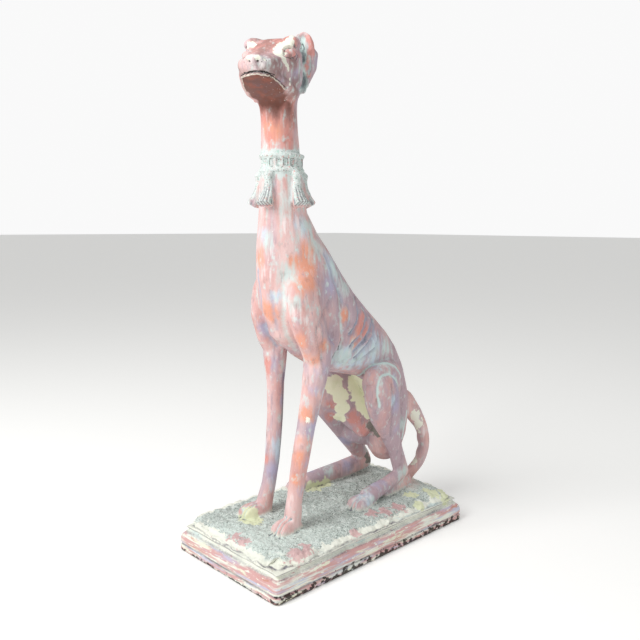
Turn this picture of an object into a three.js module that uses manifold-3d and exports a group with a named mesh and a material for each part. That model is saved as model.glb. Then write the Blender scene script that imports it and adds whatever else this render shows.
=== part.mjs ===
// Seated greyhound garden statue: dog, tasselled collar, rough ground and moulded plinth in one casting.
// Millimetres, +Z up. The origin is the middle of the plinth's underside and the dog looks along -Y.
import * as THREE from 'three';
import { mergeVertices } from 'three/addons/utils/BufferGeometryUtils.js';
import Module from 'manifold-3d';

// Plinth sizes
const plinthLength = 400;
const plinthWidth = 226;
const plinthHeight = 45;
const cornerRadius = 6;
const lowerTierHeight = 28;
const stepInset = 7;
const coveInset = 4;
const beadHeight = 5;

// Rough ground on the plinth
const groundInset = 11;
const groundDepth = 10;
const groundRise = 6;
const farRimRise = 6;
const groundRoughness = 0.6;
const groundCells = [9, 15];
const groundOverhang = 3;
const edgeRounding = 9;
const hockMound = { x: 34, y: 150, height: 6, spread: 22 };

// The figure's height from the ground to the top of the ear
const figureHeight = 697;

// The figure is drawn 697 units tall in the tables below, so this share sizes all of it.
const drawnHeight = 697;
const unit = figureHeight / drawnHeight;

// Turn of the head and of the collar towards the dog's left, in degrees
const headTurn = 32;
const collarTurn = 16;

// The paws and feet stand this far above the plinth's flat top, sunk in the rough ground
const standHeight = 3;

// Collar sizes in drawn units
const collar = { z: 517, half: 12.5, radius: 29.5, rim: 2.2, centreY: -93 };
const tasselCount = 5;
const fullTurn = 360;
const radians = (degrees) => (degrees * Math.PI) / 180;

const wasm = await Module();
wasm.setup();

const asSolid = (geometry) => {
  const bare = geometry.clone();
  bare.deleteAttribute('normal');
  bare.deleteAttribute('uv');
  const merged = mergeVertices(bare, 1e-4);
  const vertProperties = new Float32Array(merged.attributes.position.array);
  const triVerts = new Uint32Array(merged.index.array);
  return new wasm.Manifold(new wasm.Mesh({ numProp: 3, vertProperties, triVerts }));
};

const join = (solids) => solids.reduce((whole, next) => whole.add(next));

// Smooth values between rows of numbers, a row being one station along a form
const between = (rows, steps) => {
  const out = [];
  for (let i = 0; i < rows.length - 1; i += 1) {
    const a = rows[Math.max(i - 1, 0)];
    const b = rows[i];
    const c = rows[i + 1];
    const d = rows[Math.min(i + 2, rows.length - 1)];
    for (let k = 0; k < steps; k += 1) {
      const t = k / steps;
      out.push(b.map((_, j) => {
        const slopeB = (c[j] - a[j]) / 2;
        const slopeC = (d[j] - b[j]) / 2;
        const rise = c[j] - b[j];
        const cubic = slopeB + slopeC - 2 * rise;
        const square = 3 * rise - 2 * slopeB - slopeC;
        return b[j] + t * (slopeB + t * (square + t * cubic));
      }));
    }
  }
  out.push(rows[rows.length - 1].slice());
  return out;
};

// Six times the volume inside a closed set of triangles, below zero where they face inwards
const volumeOf = (p, index) => {
  let sum = 0;
  for (let i = 0; i < index.length; i += 3) {
    const [a, b, c] = [index[i] * 3, index[i + 1] * 3, index[i + 2] * 3];
    sum += p[a] * (p[b + 1] * p[c + 2] - p[b + 2] * p[c + 1]);
    sum += p[a + 1] * (p[b + 2] * p[c] - p[b] * p[c + 2]);
    sum += p[a + 2] * (p[b] * p[c + 1] - p[b + 1] * p[c]);
  }
  return sum;
};

const flipped = (index) => {
  const out = index.slice();
  for (let i = 0; i < out.length; i += 3) {
    [out[i + 1], out[i + 2]] = [out[i + 2], out[i + 1]];
  }
  return out;
};

// Closed skin over a list of rings, each ring the same number of points, with a point closing each end
const skin = (rings) => {
  const count = rings[0].length;
  const positions = [];
  const index = [];
  rings.forEach((ring) => ring.forEach((p) => positions.push(p.x, p.y, p.z)));
  const centre = (ring) => ring.reduce((s, p) => s.add(p), new THREE.Vector3()).divideScalar(count);
  const first = centre(rings[0]);
  const last = centre(rings[rings.length - 1]);
  positions.push(first.x, first.y, first.z, last.x, last.y, last.z);
  const firstIndex = rings.length * count;
  for (let r = 0; r < rings.length - 1; r += 1) {
    for (let j = 0; j < count; j += 1) {
      const a = r * count + j;
      const b = r * count + ((j + 1) % count);
      index.push(a, b, b + count, a, b + count, a + count);
    }
  }
  const top = (rings.length - 1) * count;
  for (let j = 0; j < count; j += 1) {
    const k = (j + 1) % count;
    index.push(firstIndex, k, j, firstIndex + 1, top + j, top + k);
  }
  const geometry = new THREE.BufferGeometry();
  geometry.setAttribute('position', new THREE.Float32BufferAttribute(positions, 3));
  geometry.setIndex(volumeOf(positions, index) < 0 ? flipped(index) : index);
  return geometry;
};

// One ring: an oval with its own upper and lower depth, a squareness, and a lean of its width to one end
const ovalRing = (centre, side, up, width, above, below, count, { square = 2, lean = 0, cup = 0 } = {}) => {
  const ring = [];
  for (let j = 0; j < count; j += 1) {
    const angle = (2 * Math.PI * j) / count;
    const c = Math.cos(angle);
    const s = Math.sin(angle);
    const power = 2 / square;
    const across = Math.sign(c) * Math.abs(c) ** power * width * (1 + lean * s);
    const high = Math.sign(s) * Math.abs(s) ** power * (s > 0 ? above : below);
    const hollow = s * cup > 0 ? cup * s * s : 0;
    ring.push(centre.clone().addScaledVector(side, across).addScaledVector(up, high - hollow));
  }
  return ring;
};

// Rounded ends: rings shrinking over the last stretch of a form
const domeShares = [0.5, 0.85];
const domed = (ring, direction, depth) => {
  const middle = ring.reduce((s, p) => s.add(p), new THREE.Vector3()).divideScalar(ring.length);
  return domeShares.map((share) => {
    const shrink = Math.sqrt(1 - share * share);
    return ring.map((p) => p.clone().sub(middle).multiplyScalar(shrink).add(middle)
      .addScaledVector(direction, share * depth));
  });
};

// A limb: rows of x, y, z, half-width and half-depth along its middle line, in drawn units above the ground
const limb = (rows, { count = 12, steps = 1, sideways = [1, 0, 0], start = 0, end = 0, shape = {} } = {}) => {
  const stations = between(rows, steps);
  const middles = stations.map((s) => new THREE.Vector3(s[0], s[1], s[2]));
  const wanted = new THREE.Vector3(...sideways);
  const directions = middles.map((_, i) => middles[Math.min(i + 1, middles.length - 1)].clone()
    .sub(middles[Math.max(i - 1, 0)]).normalize());
  const rings = stations.map((s, i) => {
    const along = directions[i];
    const side = wanted.clone().addScaledVector(along, -wanted.dot(along)).normalize();
    const up = new THREE.Vector3().crossVectors(side, along);
    return ovalRing(middles[i], side, up, s[3], s[4], s[4], count, shape);
  });
  if (start > 0) {
    rings.unshift(...domed(rings[0], directions[0].clone().negate(), start).reverse());
  }
  if (end > 0) {
    rings.push(...domed(rings[rings.length - 1], directions[directions.length - 1], end));
  }
  return asSolid(skin(rings));
};

const ball = (centre, radii, turn = 0) => {
  const geometry = new THREE.SphereGeometry(1, 8, 6);
  geometry.scale(...radii);
  geometry.rotateZ(turn);
  geometry.translate(...centre);
  return asSolid(geometry);
};

const across = new THREE.Vector3(1, 0, 0);
const upright = new THREE.Vector3(0, 0, 1);

// Neck and trunk in one run: back line y, z, front or belly line y, z, half-width and egg shape
const trunkRows = [
  [-73, 612, -127, 610, 25, 0],
  [-72, 574, -123, 570, 25, 0],
  [-69, 532, -122, 526, 26, 0],
  [-64, 490, -123, 480, 29, 0],
  [-58, 452, -126, 440, 33, 0.04],
  [-41, 424, -130, 402, 39, 0.1],
  [-19, 398, -132, 362, 44, 0.18],
  [3, 369, -128, 318, 48, 0.22],
  [28, 340, -108, 276, 50, 0.24],
  [54, 316, -70, 244, 50, 0.24],
  [79, 294, -24, 218, 49, 0.22],
  [104, 272, 24, 206, 46, 0.16],
  [128, 246, 66, 196, 41, 0.1],
  [148, 216, 92, 160, 39, 0.04],
  [160, 184, 102, 118, 40, 0],
  [168, 150, 104, 82, 40, 0],
  [164, 112, 110, 58, 36, 0],
  [154, 78, 120, 46, 28, 0],
  [146, 60, 130, 44, 15, 0],
];
const trunkSquare = 2.1;
const trunkFrame = ([ty, tz, by, bz]) => {
  const back = new THREE.Vector3(0, ty, tz);
  const front = new THREE.Vector3(0, by, bz);
  const up = back.clone().sub(front);
  const half = up.length() / 2;
  return { middle: back.add(front).multiplyScalar(0.5), up: up.normalize(), half };
};
const trunk = () => asSolid(skin(trunkRows.map((row) => {
  const { middle, up, half } = trunkFrame(row);
  return ovalRing(middle, across, up, row[4], half, half, 20, { square: trunkSquare, lean: row[5] });
})));

// Shoulder blade and upper arm down to the elbow, the right one mirrored and a little higher
const shoulder = (sign) => limb([
  [sign * 20, -34, 378, 12, 18],
  [sign * 30, -64, 364, 18, 30],
  [sign * 38, -88, 340, 20, 30],
  [sign * 43, -88, 308, 20, 28],
  [sign * 46, -76, 278, 20, 26],
  [sign * 43, -66, 250, 17, 21],
], { count: 12, start: 10, end: 10 });

// Forelegs: forearm, wrist, pastern
const leftForeleg = () => limb([
  [41, -58, 268, 21.5, 23],
  [41, -63, 240, 20.5, 20],
  [40.5, -71, 200, 16.5, 16],
  [39, -82, 150, 13, 13.5],
  [38, -90, 112, 13, 13.5],
  [37, -96, 80, 12, 12],
  [36, -101, 48, 12, 11],
  [34, -103, 20, 13, 13],
  [34, -105, -6, 13, 13],
], { start: 8 });
const rightForeleg = () => limb([
  [-45, -68, 268, 19, 21],
  [-43, -70, 240, 18, 18],
  [-40, -72, 200, 12.5, 14],
  [-40, -73, 150, 12, 12.5],
  [-40, -76, 112, 12, 12],
  [-40, -79, 80, 11, 11.5],
  [-39, -86, 48, 11, 11],
  [-40, -94, 20, 12, 13],
  [-41, -97, -6, 12, 13],
], { start: 8 });

// A paw: one low form whose front breaks into toes, each toe a lobe between grooves
const pawShape = { length: 52, width: 34, height: 23, toes: 4, groove: 0.3, arc: 7 };
const paw = (x, y, turn) => {
  const { length, width, height, toes, groove, arc } = pawShape;
  const profile = [
    [0, 0.3, 0.3],
    [0.06, 0.62, 0.62],
    [0.3, 0.84, 0.92],
    [0.55, 0.96, 1],
    [0.75, 1, 0.96],
    [0.9, 0.98, 0.78],
    [0.98, 0.92, 0.5],
    [1, 0.84, 0.24],
  ];
  const rings = profile.map(([share, wide, high]) => {
    const ring = [];
    const count = 16;
    for (let j = 0; j < count; j += 1) {
      const angle = (2 * Math.PI * j) / count;
      const across = Math.cos(angle);
      const lobe = Math.abs(Math.sin((across + 1) * 0.5 * toes * Math.PI));
      const open = share > 0.5 ? (share - 0.5) * 2 : 0;
      const cut = 1 - groove * open * (1 - lobe);
      const tip = -(0.5 * length - arc * across * across) + groove * 8 * (1 - lobe) * open;
      const back = 0.5 * length;
      const lift = Math.sin(angle) > 0 ? Math.sin(angle) * height * high * cut : Math.sin(angle) * 5;
      ring.push(new THREE.Vector3(across * 0.5 * width * wide, back + (tip - back) * share, lift));
    }
    return ring;
  });
  return asSolid(skin(rings)).rotate([0, 0, turn]).translate([x, y, 0]);
};

// Hind legs: thigh, shank to the hock, and the long foot lying forward on the ground
const leftThigh = () => limb([
  [12, 126, 158, 18, 44],
  [26, 108, 176, 21, 46],
  [37, 84, 186, 24, 43],
  [45, 62, 192, 23, 34],
  [49, 46, 194, 18, 24],
], { count: 14, start: 14, end: 8 });
const leftShank = () => limb([
  [50, 58, 196, 19, 28],
  [50, 68, 170, 21, 34],
  [49, 78, 140, 19, 30],
  [47, 92, 108, 14, 19],
  [45, 108, 76, 11, 13],
  [42, 122, 48, 10.5, 14],
  [41, 130, 30, 10, 15],
], { start: 8, end: 8 });
const leftFoot = () => limb([
  [41, 134, 34, 9, 12],
  [42, 116, 28, 9.5, 12],
  [44, 90, 22, 10.5, 12],
  [45, 62, 18, 12, 13],
  [46, 40, 14, 14, 13],
], { start: 5, end: 5 });
const leftWeb = () => limb([
  [40, 150, 6, 5, 18],
  [43, 118, 6, 5, 14],
  [46, 84, 2, 5, 8],
], { count: 8, start: 4, end: 4 });
const rightThigh = () => limb([
  [-14, 128, 128, 22, 58],
  [-28, 108, 146, 24, 56],
  [-42, 78, 160, 25, 46],
  [-52, 44, 168, 22, 34],
  [-57, 24, 172, 16, 22],
], { count: 14, start: 14, end: 8 });
const rightShank = () => limb([
  [-57, 38, 172, 17, 26],
  [-58, 58, 142, 18, 29],
  [-59, 82, 108, 15, 22],
  [-60, 108, 74, 13, 17],
  [-60, 132, 46, 12, 15],
  [-60, 144, 30, 11, 15],
], { start: 8, end: 8 });
const rightHam = () => limb([
  [-12, 128, 104, 26, 42],
  [-34, 118, 92, 24, 32],
  [-50, 100, 92, 17, 24],
  [-58, 88, 96, 12, 18],
], { start: 6, end: 6 });
const rightFoot = () => limb([
  [-59, 153, 25, 11, 16],
  [-61, 124, 21, 12, 16],
  [-64, 90, 17, 12, 16],
  [-68, 50, 14, 13, 15],
  [-72, 20, 12, 14, 13],
], { start: 5, end: 5 });

// Tail: from the rump out to the dog's left, down, and round to the ground
const tail = () => limb([
  [10, 140, 152, 22, 26],
  [18, 160, 142, 17, 20],
  [28, 174, 120, 14, 15],
  [37, 182, 92, 13, 13],
  [40, 184, 66, 12.5, 12.5],
  [36, 178, 40, 12, 12],
  [26, 168, 20, 11.5, 11.5],
  [14, 162, 2, 11, 11],
], { count: 10, sideways: [0, 1, 0], end: 6 });

// Head in its own frame: nose along -Y, middle of the skull at the origin, before it is turned.
// Each row is a cross-section from the back of the head forward: y, top, bottom, half-width, squareness.
const headPlace = [-4, -97, 642];
const sections = (rows, count) => asSolid(skin(rows.map(([y, top, bottom, width, square]) => {
  const half = (top - bottom) / 2;
  const middle = new THREE.Vector3(0, y, bottom + half);
  return ovalRing(middle, across, upright, width, half, half, count, { square });
})));
const skull = () => sections([
  [38, 10, -16, 10, 2.1],
  [34, 24, -28, 22, 2.1],
  [24, 34, -36, 32, 2.2],
  [6, 38, -42, 38, 2.3],
  [-14, 38, -43, 40, 2.4],
  [-32, 32, -38, 38, 2.6],
  [-46, 19, -31, 34.5, 2.8],
  [-60, 8, -27, 31, 3],
  [-76, 2.5, -23.5, 28, 3],
  [-88, -1, -22, 24, 2.7],
  [-96, -6, -20.5, 16, 2.3],
], 14);
const jaw = () => sections([
  [14, -20, -44, 28, 2.3],
  [-12, -20, -47, 35, 2.4],
  [-34, -20, -44, 35.5, 2.5],
  [-50, -18, -39, 33.5, 2.6],
  [-66, -16, -34, 29.5, 2.6],
  [-80, -14, -29.5, 26, 2.6],
  [-91, -15, -25.5, 17, 2.3],
], 12);

// Folded ear: a cupped flap that opens forward, and the back of the fold behind it
const ear = (sign, drop) => {
  const flap = limb([
    [sign * 31, 4, 44, 9, 5],
    [sign * 33, 5, 39, 13, 8],
    [sign * 35.5, 6, 31, 14.5, 9.5],
    [sign * 37, 8, 20, 14, 10],
    [sign * 37, 9, 5, 12, 9.5],
    [sign * 35, 6, -13, 9, 8],
    [sign * 33, 3, -29, 6, 6],
  ], { count: 10, start: 4, end: 3, shape: { cup: -7 } });
  const fold = limb([
    [sign * 36, 16, 34, 7, 6],
    [sign * 43, 19, 21, 9.5, 8],
    [sign * 42, 18, 4, 8.5, 8],
    [sign * 36, 10, -20, 4, 6],
  ], { count: 8, start: 3, end: 2 });
  return flap.add(fold).translate([0, drop, -drop]);
};
const earDrop = { left: 0, right: 8 };

const brow = { x: 24, y: -17, z: 27.5, radii: [14, 20, 11], turn: 0.4 };
const eye = { x: 29, y: -37, z: 11, radii: [8, 8, 7], turn: 0.5 };
const nose = { y: -94, z: -8, radii: [14, 9, 8] };
const nostril = { x: 7, y: -103, z: -9.5, radii: [3.2, 4, 2.8] };
const head = () => {
  const pieces = [skull(), jaw(), ear(1, earDrop.left), ear(-1, earDrop.right)];
  [1, -1].forEach((sign) => {
    pieces.push(ball([sign * brow.x, brow.y, brow.z], brow.radii, sign * brow.turn));
    pieces.push(ball([sign * eye.x, eye.y, eye.z], eye.radii, sign * eye.turn));
  });
  pieces.push(ball([0, nose.y, nose.z], nose.radii));
  let whole = join(pieces);
  [1, -1].forEach((sign) => {
    whole = whole.subtract(ball([sign * nostril.x, nostril.y, nostril.z], nostril.radii));
  });
  return whole.rotate([0, 0, headTurn]).translate(headPlace);
};

// Collar: a band with raised rims, and flared tassels hanging from it
const collarBand = () => {
  const { z, half, radius, rim, centreY } = collar;
  const profile = [
    [radius - 8, -half],
    [radius - 0.5, -half],
    [radius + rim, -half + 1.5],
    [radius + rim, -half + 4],
    [radius, -half + 5.5],
    [radius, half - 5.5],
    [radius + rim, half - 4],
    [radius + rim, half - 1.5],
    [radius - 2, half],
    [radius - 8, half],
  ];
  const points = profile.map(([r, h]) => new THREE.Vector2(r, h));
  points.push(points[0].clone());
  const geometry = new THREE.LatheGeometry(points, 20);
  geometry.rotateX(Math.PI / 2);
  geometry.translate(0, centreY, z);
  return asSolid(geometry);
};
const tassel = (turn) => {
  const { radius, centreY, z, half } = collar;
  return limb([
    [0, -radius + 1, 2, 6, 4],
    [0, -radius - 4, -4, 7.5, 6],
    [0, -radius - 3, -11, 5.5, 5],
    [0, -radius - 4, -22, 8, 6],
    [0, -radius - 8, -35, 11, 8],
    [0, -radius - 13, -44, 13.5, 9.5],
  ], { count: 8 }).rotate([0, 0, turn]).translate([0, centreY, z - half]);
};

// Ribs: low ridges that follow the barrel of the trunk, a little proud in the middle and sunk at their ends.
// Each one stands at its own place between two rows of the trunk's table.
const ribSizes = {
  places: [8.45, 8.95, 9.45, 9.95, 10.45],
  high: 38,
  low: -58,
  proud: 1.6,
  sunk: 3,
  half: 5,
  depth: 2.5,
  stops: 3,
};
const ribs = (sign) => join(ribSizes.places.map((place) => {
  const { high, low, proud, sunk, half: halfWidth, depth, stops } = ribSizes;
  const below = Math.floor(place);
  const row = trunkRows[below].map((v, j) => v + (place - below) * (trunkRows[below + 1][j] - v));
  const { middle, up, half } = trunkFrame(row);
  const path = Array.from({ length: stops + 1 }, (_, i) => {
    const share = i / stops;
    const angle = radians(high + (low - high) * share);
    const [c, s] = [Math.cos(angle), Math.sin(angle)];
    const lift = proud - (proud + sunk) * (2 * share - 1) ** 4;
    const wide = c ** (2 / trunkSquare) * row[4] * (1 + row[5] * s) + lift;
    const tall = Math.sign(s) * Math.abs(s) ** (2 / trunkSquare) * half;
    const p = middle.clone().addScaledVector(up, tall);
    return [sign * (wide - depth / 2), p.y, p.z, depth, halfWidth];
  });
  return limb(path, { count: 3, sideways: [sign, 0, 0] });
}));

// Each paw's middle and its turn in degrees
const paws = [[34, -114, 6], [-43, -112, -8], [45, 30, -2], [-74, 8, -4]];

const dog = () => {
  const pieces = [
    trunk(), ribs(1), ribs(-1), shoulder(1), shoulder(-1), leftForeleg(), rightForeleg(),
    leftThigh(), leftShank(), leftFoot(), leftWeb(),
    rightThigh(), rightShank(), rightHam(), rightFoot(),
    ...paws.map(([x, y, turn]) => paw(x, y, turn)),
    tail(), head(), collarBand(),
  ];
  for (let i = 0; i < tasselCount; i += 1) {
    pieces.push(tassel(collarTurn + (fullTurn * i) / tasselCount));
  }
  return join(pieces).scale([unit, unit, unit]).translate([0, 0, plinthHeight + standHeight]);
};

// Plinth: one closed stack of rounded rectangles following the moulding from the foot up
const cornerSteps = 2;
const roundedRectangle = (inset, z) => {
  const ring = [];
  const halfX = plinthWidth / 2 - inset;
  const halfY = plinthLength / 2 - inset;
  const radius = cornerRadius;
  const corners = [[1, 1, 0], [-1, 1, 90], [-1, -1, 180], [1, -1, 270]];
  corners.forEach(([sx, sy, start]) => {
    for (let k = 0; k <= cornerSteps; k += 1) {
      const angle = radians(start + (k * 90) / cornerSteps);
      ring.push(new THREE.Vector3(
        sx * (halfX - radius) + radius * Math.cos(angle),
        sy * (halfY - radius) + radius * Math.sin(angle),
        z,
      ));
    }
  });
  return ring;
};

// Rows of the moulding: inset from the plinth's outline and height above the floor
const plinth = () => {
  const tier = lowerTierHeight;
  const neck = stepInset + coveInset;
  const bead = stepInset + coveInset / 2;
  const beadMiddle = plinthHeight - beadHeight;
  const shelf = plinthHeight - 1.5;
  const moulding = [
    [1.5, 0],
    [0, 2],
    [0, tier * 0.32],
    [1.8, tier * 0.36],
    [1.8, tier * 0.42],
    [0.2, tier * 0.46],
    [0, tier * 0.66],
    [1.6, tier * 0.86],
    [stepInset * 0.7, tier],
    [stepInset, tier + 1],
    [stepInset, tier + 2.5],
    [stepInset + coveInset * 0.6, tier + 3.5],
    [neck, tier + 6],
    [neck, beadMiddle - 3],
    [bead, beadMiddle - 1.5],
    [bead, beadMiddle + 1.5],
    [neck, beadMiddle + 3],
    [groundInset - 2, shelf],
    [groundInset, shelf],
  ];
  return asSolid(skin(moulding.map(([inset, z]) => roundedRectangle(inset, z))));
};

// Rough ground: a slab whose top rises and falls, with a mound under the left hock. It is rounded down at
// the front and left edges, and its rim stands up along the rear and the right ones.
const groundLevel = (x, y, halfX, halfY) => {
  const wave = Math.sin(x * 0.11 + y * 0.05) + Math.sin(y * 0.13 - x * 0.07 + 1) + Math.sin(x * 0.31) / 2;
  const distance = (x - hockMound.x) ** 2 + (y - hockMound.y) ** 2;
  const mound = hockMound.height * Math.exp(-distance / hockMound.spread ** 2);
  const edge = Math.min(halfX - Math.abs(x), halfY - Math.abs(y));
  const nearSide = Math.max(0, x / halfX);
  const far = Math.max(0, y / halfY) * (1 - nearSide / 2) + Math.max(0, -x / halfX);
  const rim = farRimRise * Math.min(1, far) ** 2;
  const crown = rim + (groundRise - rim) * (1 - Math.exp(-edge / edgeRounding));
  return plinthHeight + crown + wave * groundRoughness + mound;
};
const ground = () => {
  const [nx, ny] = groundCells;
  const halfX = plinthWidth / 2 - groundInset + groundOverhang;
  const halfY = plinthLength / 2 - groundInset + groundOverhang;
  const positions = [];
  const index = [];
  const at = (i, j) => i * (ny + 1) + j;
  for (let i = 0; i <= nx; i += 1) {
    for (let j = 0; j <= ny; j += 1) {
      const x = -halfX + (2 * halfX * i) / nx;
      const y = -halfY + (2 * halfY * j) / ny;
      positions.push(x, y, groundLevel(x, y, halfX, halfY));
    }
  }
  for (let i = 0; i < nx; i += 1) {
    for (let j = 0; j < ny; j += 1) {
      index.push(at(i, j), at(i + 1, j), at(i + 1, j + 1));
      index.push(at(i, j), at(i + 1, j + 1), at(i, j + 1));
    }
  }
  const steps = (count) => Array.from({ length: count }, (_, k) => k);
  const rim = [
    ...steps(nx).map((i) => at(i, 0)),
    ...steps(ny).map((j) => at(nx, j)),
    ...steps(nx).map((i) => at(nx - i, ny)),
    ...steps(ny).map((j) => at(0, ny - j)),
  ];
  const floor = plinthHeight - groundDepth;
  const base = positions.length / 3;
  rim.forEach((v) => positions.push(positions[v * 3], positions[v * 3 + 1], floor));
  const hub = positions.length / 3;
  positions.push(0, 0, floor);
  rim.forEach((v, k) => {
    const next = (k + 1) % rim.length;
    index.push(v, base + k, base + next);
    index.push(v, base + next, rim[next]);
    index.push(hub, base + next, base + k);
  });
  const geometry = new THREE.BufferGeometry();
  geometry.setAttribute('position', new THREE.Float32BufferAttribute(positions, 3));
  geometry.setIndex(index);
  return asSolid(geometry);
};

const toGeometry = (solid) => {
  const mesh = solid.getMesh();
  const geometry = new THREE.BufferGeometry();
  geometry.setAttribute('position', new THREE.BufferAttribute(new Float32Array(mesh.vertProperties), 3));
  geometry.setIndex(new THREE.BufferAttribute(new Uint32Array(mesh.triVerts), 1));
  return geometry;
};

const statue = new THREE.Mesh(
  toGeometry(join([plinth(), ground(), dog()])),
  new THREE.MeshStandardMaterial({ color: '#c98a7c', roughness: 0.85, metalness: 0 }),
);
statue.name = 'greyhound_statue';

const greyhound = new THREE.Group();
greyhound.add(statue);

export default greyhound;
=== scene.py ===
import math
import bmesh
import bpy
import numpy as np
from mathutils import Matrix, Vector


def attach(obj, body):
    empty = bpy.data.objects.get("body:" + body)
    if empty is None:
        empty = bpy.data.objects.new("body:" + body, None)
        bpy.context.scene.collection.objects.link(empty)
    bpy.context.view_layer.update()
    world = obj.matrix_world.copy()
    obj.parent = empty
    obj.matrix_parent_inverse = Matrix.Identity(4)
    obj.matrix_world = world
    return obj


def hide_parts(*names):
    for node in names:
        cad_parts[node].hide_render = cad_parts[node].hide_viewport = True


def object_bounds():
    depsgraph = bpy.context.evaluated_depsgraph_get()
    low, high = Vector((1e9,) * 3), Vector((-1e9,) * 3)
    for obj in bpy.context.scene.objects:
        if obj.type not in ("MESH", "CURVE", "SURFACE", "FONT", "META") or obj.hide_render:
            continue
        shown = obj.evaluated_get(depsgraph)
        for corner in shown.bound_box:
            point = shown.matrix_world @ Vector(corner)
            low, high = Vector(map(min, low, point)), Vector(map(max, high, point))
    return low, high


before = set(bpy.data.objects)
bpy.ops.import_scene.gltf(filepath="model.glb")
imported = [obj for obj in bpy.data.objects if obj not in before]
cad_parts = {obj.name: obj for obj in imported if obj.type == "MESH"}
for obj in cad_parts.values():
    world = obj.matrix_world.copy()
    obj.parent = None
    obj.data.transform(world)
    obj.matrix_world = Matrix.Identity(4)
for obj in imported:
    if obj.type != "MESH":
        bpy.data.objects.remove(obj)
cadLow, cadHigh = [list(map(float, corner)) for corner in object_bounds()]
print("frame loaded")

# Seated greyhound cast in concrete with its plinth. The dog looks along -Y and its left side is +X.
# Points and sizes in the dictionaries are millimetres in the model's own frame.
mm = 0.001


def linear(code):  # sRGB hex to the linear colour that Blender works in
    parts = [int(code[i:i + 2], 16) / 255 for i in (1, 3, 5)]
    return [c / 12.92 if c <= 0.04045 else ((c + 0.055) / 1.055) ** 2.4 for c in parts] + [1.0]


# Camera
cameraSettings = {"place": (754, -739, 482), "turn": 46.3, "pitch": -7.7, "roll": 0.3, "lens": 39.6}


def makeCamera(s):
    data = bpy.data.cameras.new("photoCamera")
    data.lens = s["lens"]
    data.sensor_width = 36
    data.clip_start = 0.05
    camera = bpy.data.objects.new("photoCamera", data)
    bpy.context.scene.collection.objects.link(camera)
    turn = Matrix.Rotation(math.radians(s["turn"]), 4, "Z")
    tilt = Matrix.Rotation(math.radians(90 + s["pitch"]), 4, "X")
    roll = Matrix.Rotation(math.radians(s["roll"]), 4, "Z")
    camera.matrix_world = Matrix.Translation(Vector(s["place"]) * mm) @ turn @ tilt @ roll
    bpy.context.scene.camera = camera


makeCamera(cameraSettings)
print("camera placed")

# The casting: a fine skin over the CAD solid, rounded where its facets meet, then carved
castingSettings = {
    "grain": 1.6,                # size of the fine skin's squares
    "faces": 190000,             # triangles kept at the end
    "rounding": 60,              # rounds that melt the facets of the dog together
    "melt": [                    # places where two forms run together: middle, reach and rounds
        ((50, -85, 400), 48, 130), ((-50, -95, 395), 48, 160), ((-55, -95, 345), 34, 120),
        ((48, -60, 345), 38, 110), ((0, -100, 622), 46, 90), ((20, -125, 350), 36, 60),
        ((-8, -126, 380), 30, 60), ((40, 128, 70), 14, 30), ((0, -60, 300), 30, 40),
        ((36, -100, 300), 26, 50)
    ],
    "dogFrom": (52, 5),          # height where the dog starts, and over how much it takes over
    "collar": (0, -93, 565, 15),  # middle and half height
    "collarReach": 36,
    "tassels": (50, 2, 30, -60),  # lowest and highest from the band's lower rim, nearest to the neck, rearmost y
    "paws": (48, 78),            # heights
    "kept": (0.06, 0.25, 0.35),  # share of the rounding on collar, tassels and paws
    "first": (0.6, 2),           # weight and rounds of the smoothing before the carving
    "last": (0.5, 2),            # and after it
    "head": (-4, -97, 32),       # middle and turn of the head
    "top": 738.9,
}


def fineSkin(node, s):
    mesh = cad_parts[node].data.copy()
    bm = bmesh.new()
    bm.from_mesh(mesh)
    bmesh.ops.remove_doubles(bm, verts=bm.verts, dist=1e-6)
    bm.to_mesh(mesh)
    bm.free()
    rough = bpy.data.objects.new("roughCasting", mesh)
    bpy.context.scene.collection.objects.link(rough)
    remesh = rough.modifiers.new("skin", "REMESH")
    remesh.mode = "VOXEL"
    remesh.voxel_size = s["grain"] * mm
    graph = bpy.context.evaluated_depsgraph_get()
    fine = bpy.data.meshes.new_from_object(rough.evaluated_get(graph))
    bpy.data.objects.remove(rough)
    fine.name = "greyhoundCasting"
    fine.materials.clear()
    return fine


def readPoints(mesh):
    flat = np.empty(len(mesh.vertices) * 3, np.float32)
    mesh.vertices.foreach_get("co", flat)
    return flat.reshape(-1, 3).astype(float) / mm


def writePoints(mesh, points):
    mesh.vertices.foreach_set("co", (points * mm).astype(np.float32).ravel())
    mesh.update()


def normalsOf(mesh, points):
    writePoints(mesh, points)
    flat = np.empty(len(points) * 3, np.float32)
    mesh.vertex_normals.foreach_get("vector", flat)
    return flat.reshape(-1, 3).astype(float)


def rising(value, start, over):  # 0 up to the start, then up to 1
    return np.clip((value - start) / over, 0, 1)


def relax(points, edges, weight, rounds, pulls=(0.5, -0.52)):  # the second pull gives back what was shrunk
    a, b = edges[:, 0], edges[:, 1]
    size = len(points)
    count = np.bincount(edges.ravel(), minlength=size)[:, None]
    total = np.empty_like(points)
    for _ in range(rounds):
        for pull in pulls:
            for k in range(3):
                total[:, k] = np.bincount(a, points[b, k], size) + np.bincount(b, points[a, k], size)
            points = points + weight * pull * (total / count - points)
    return points


def melt(points, edges, place, reach, rounds):  # runs two forms together, less towards the reach
    away = np.linalg.norm(points - place, axis=1)
    inside = away < reach
    index = np.cumsum(inside) - 1
    part = index[edges[inside[edges].all(axis=1)]]
    weight = (1 - (away[inside] / reach) ** 2)[:, None]
    points[inside] = relax(points[inside], part, weight, rounds, pulls=(0.9,))


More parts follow.
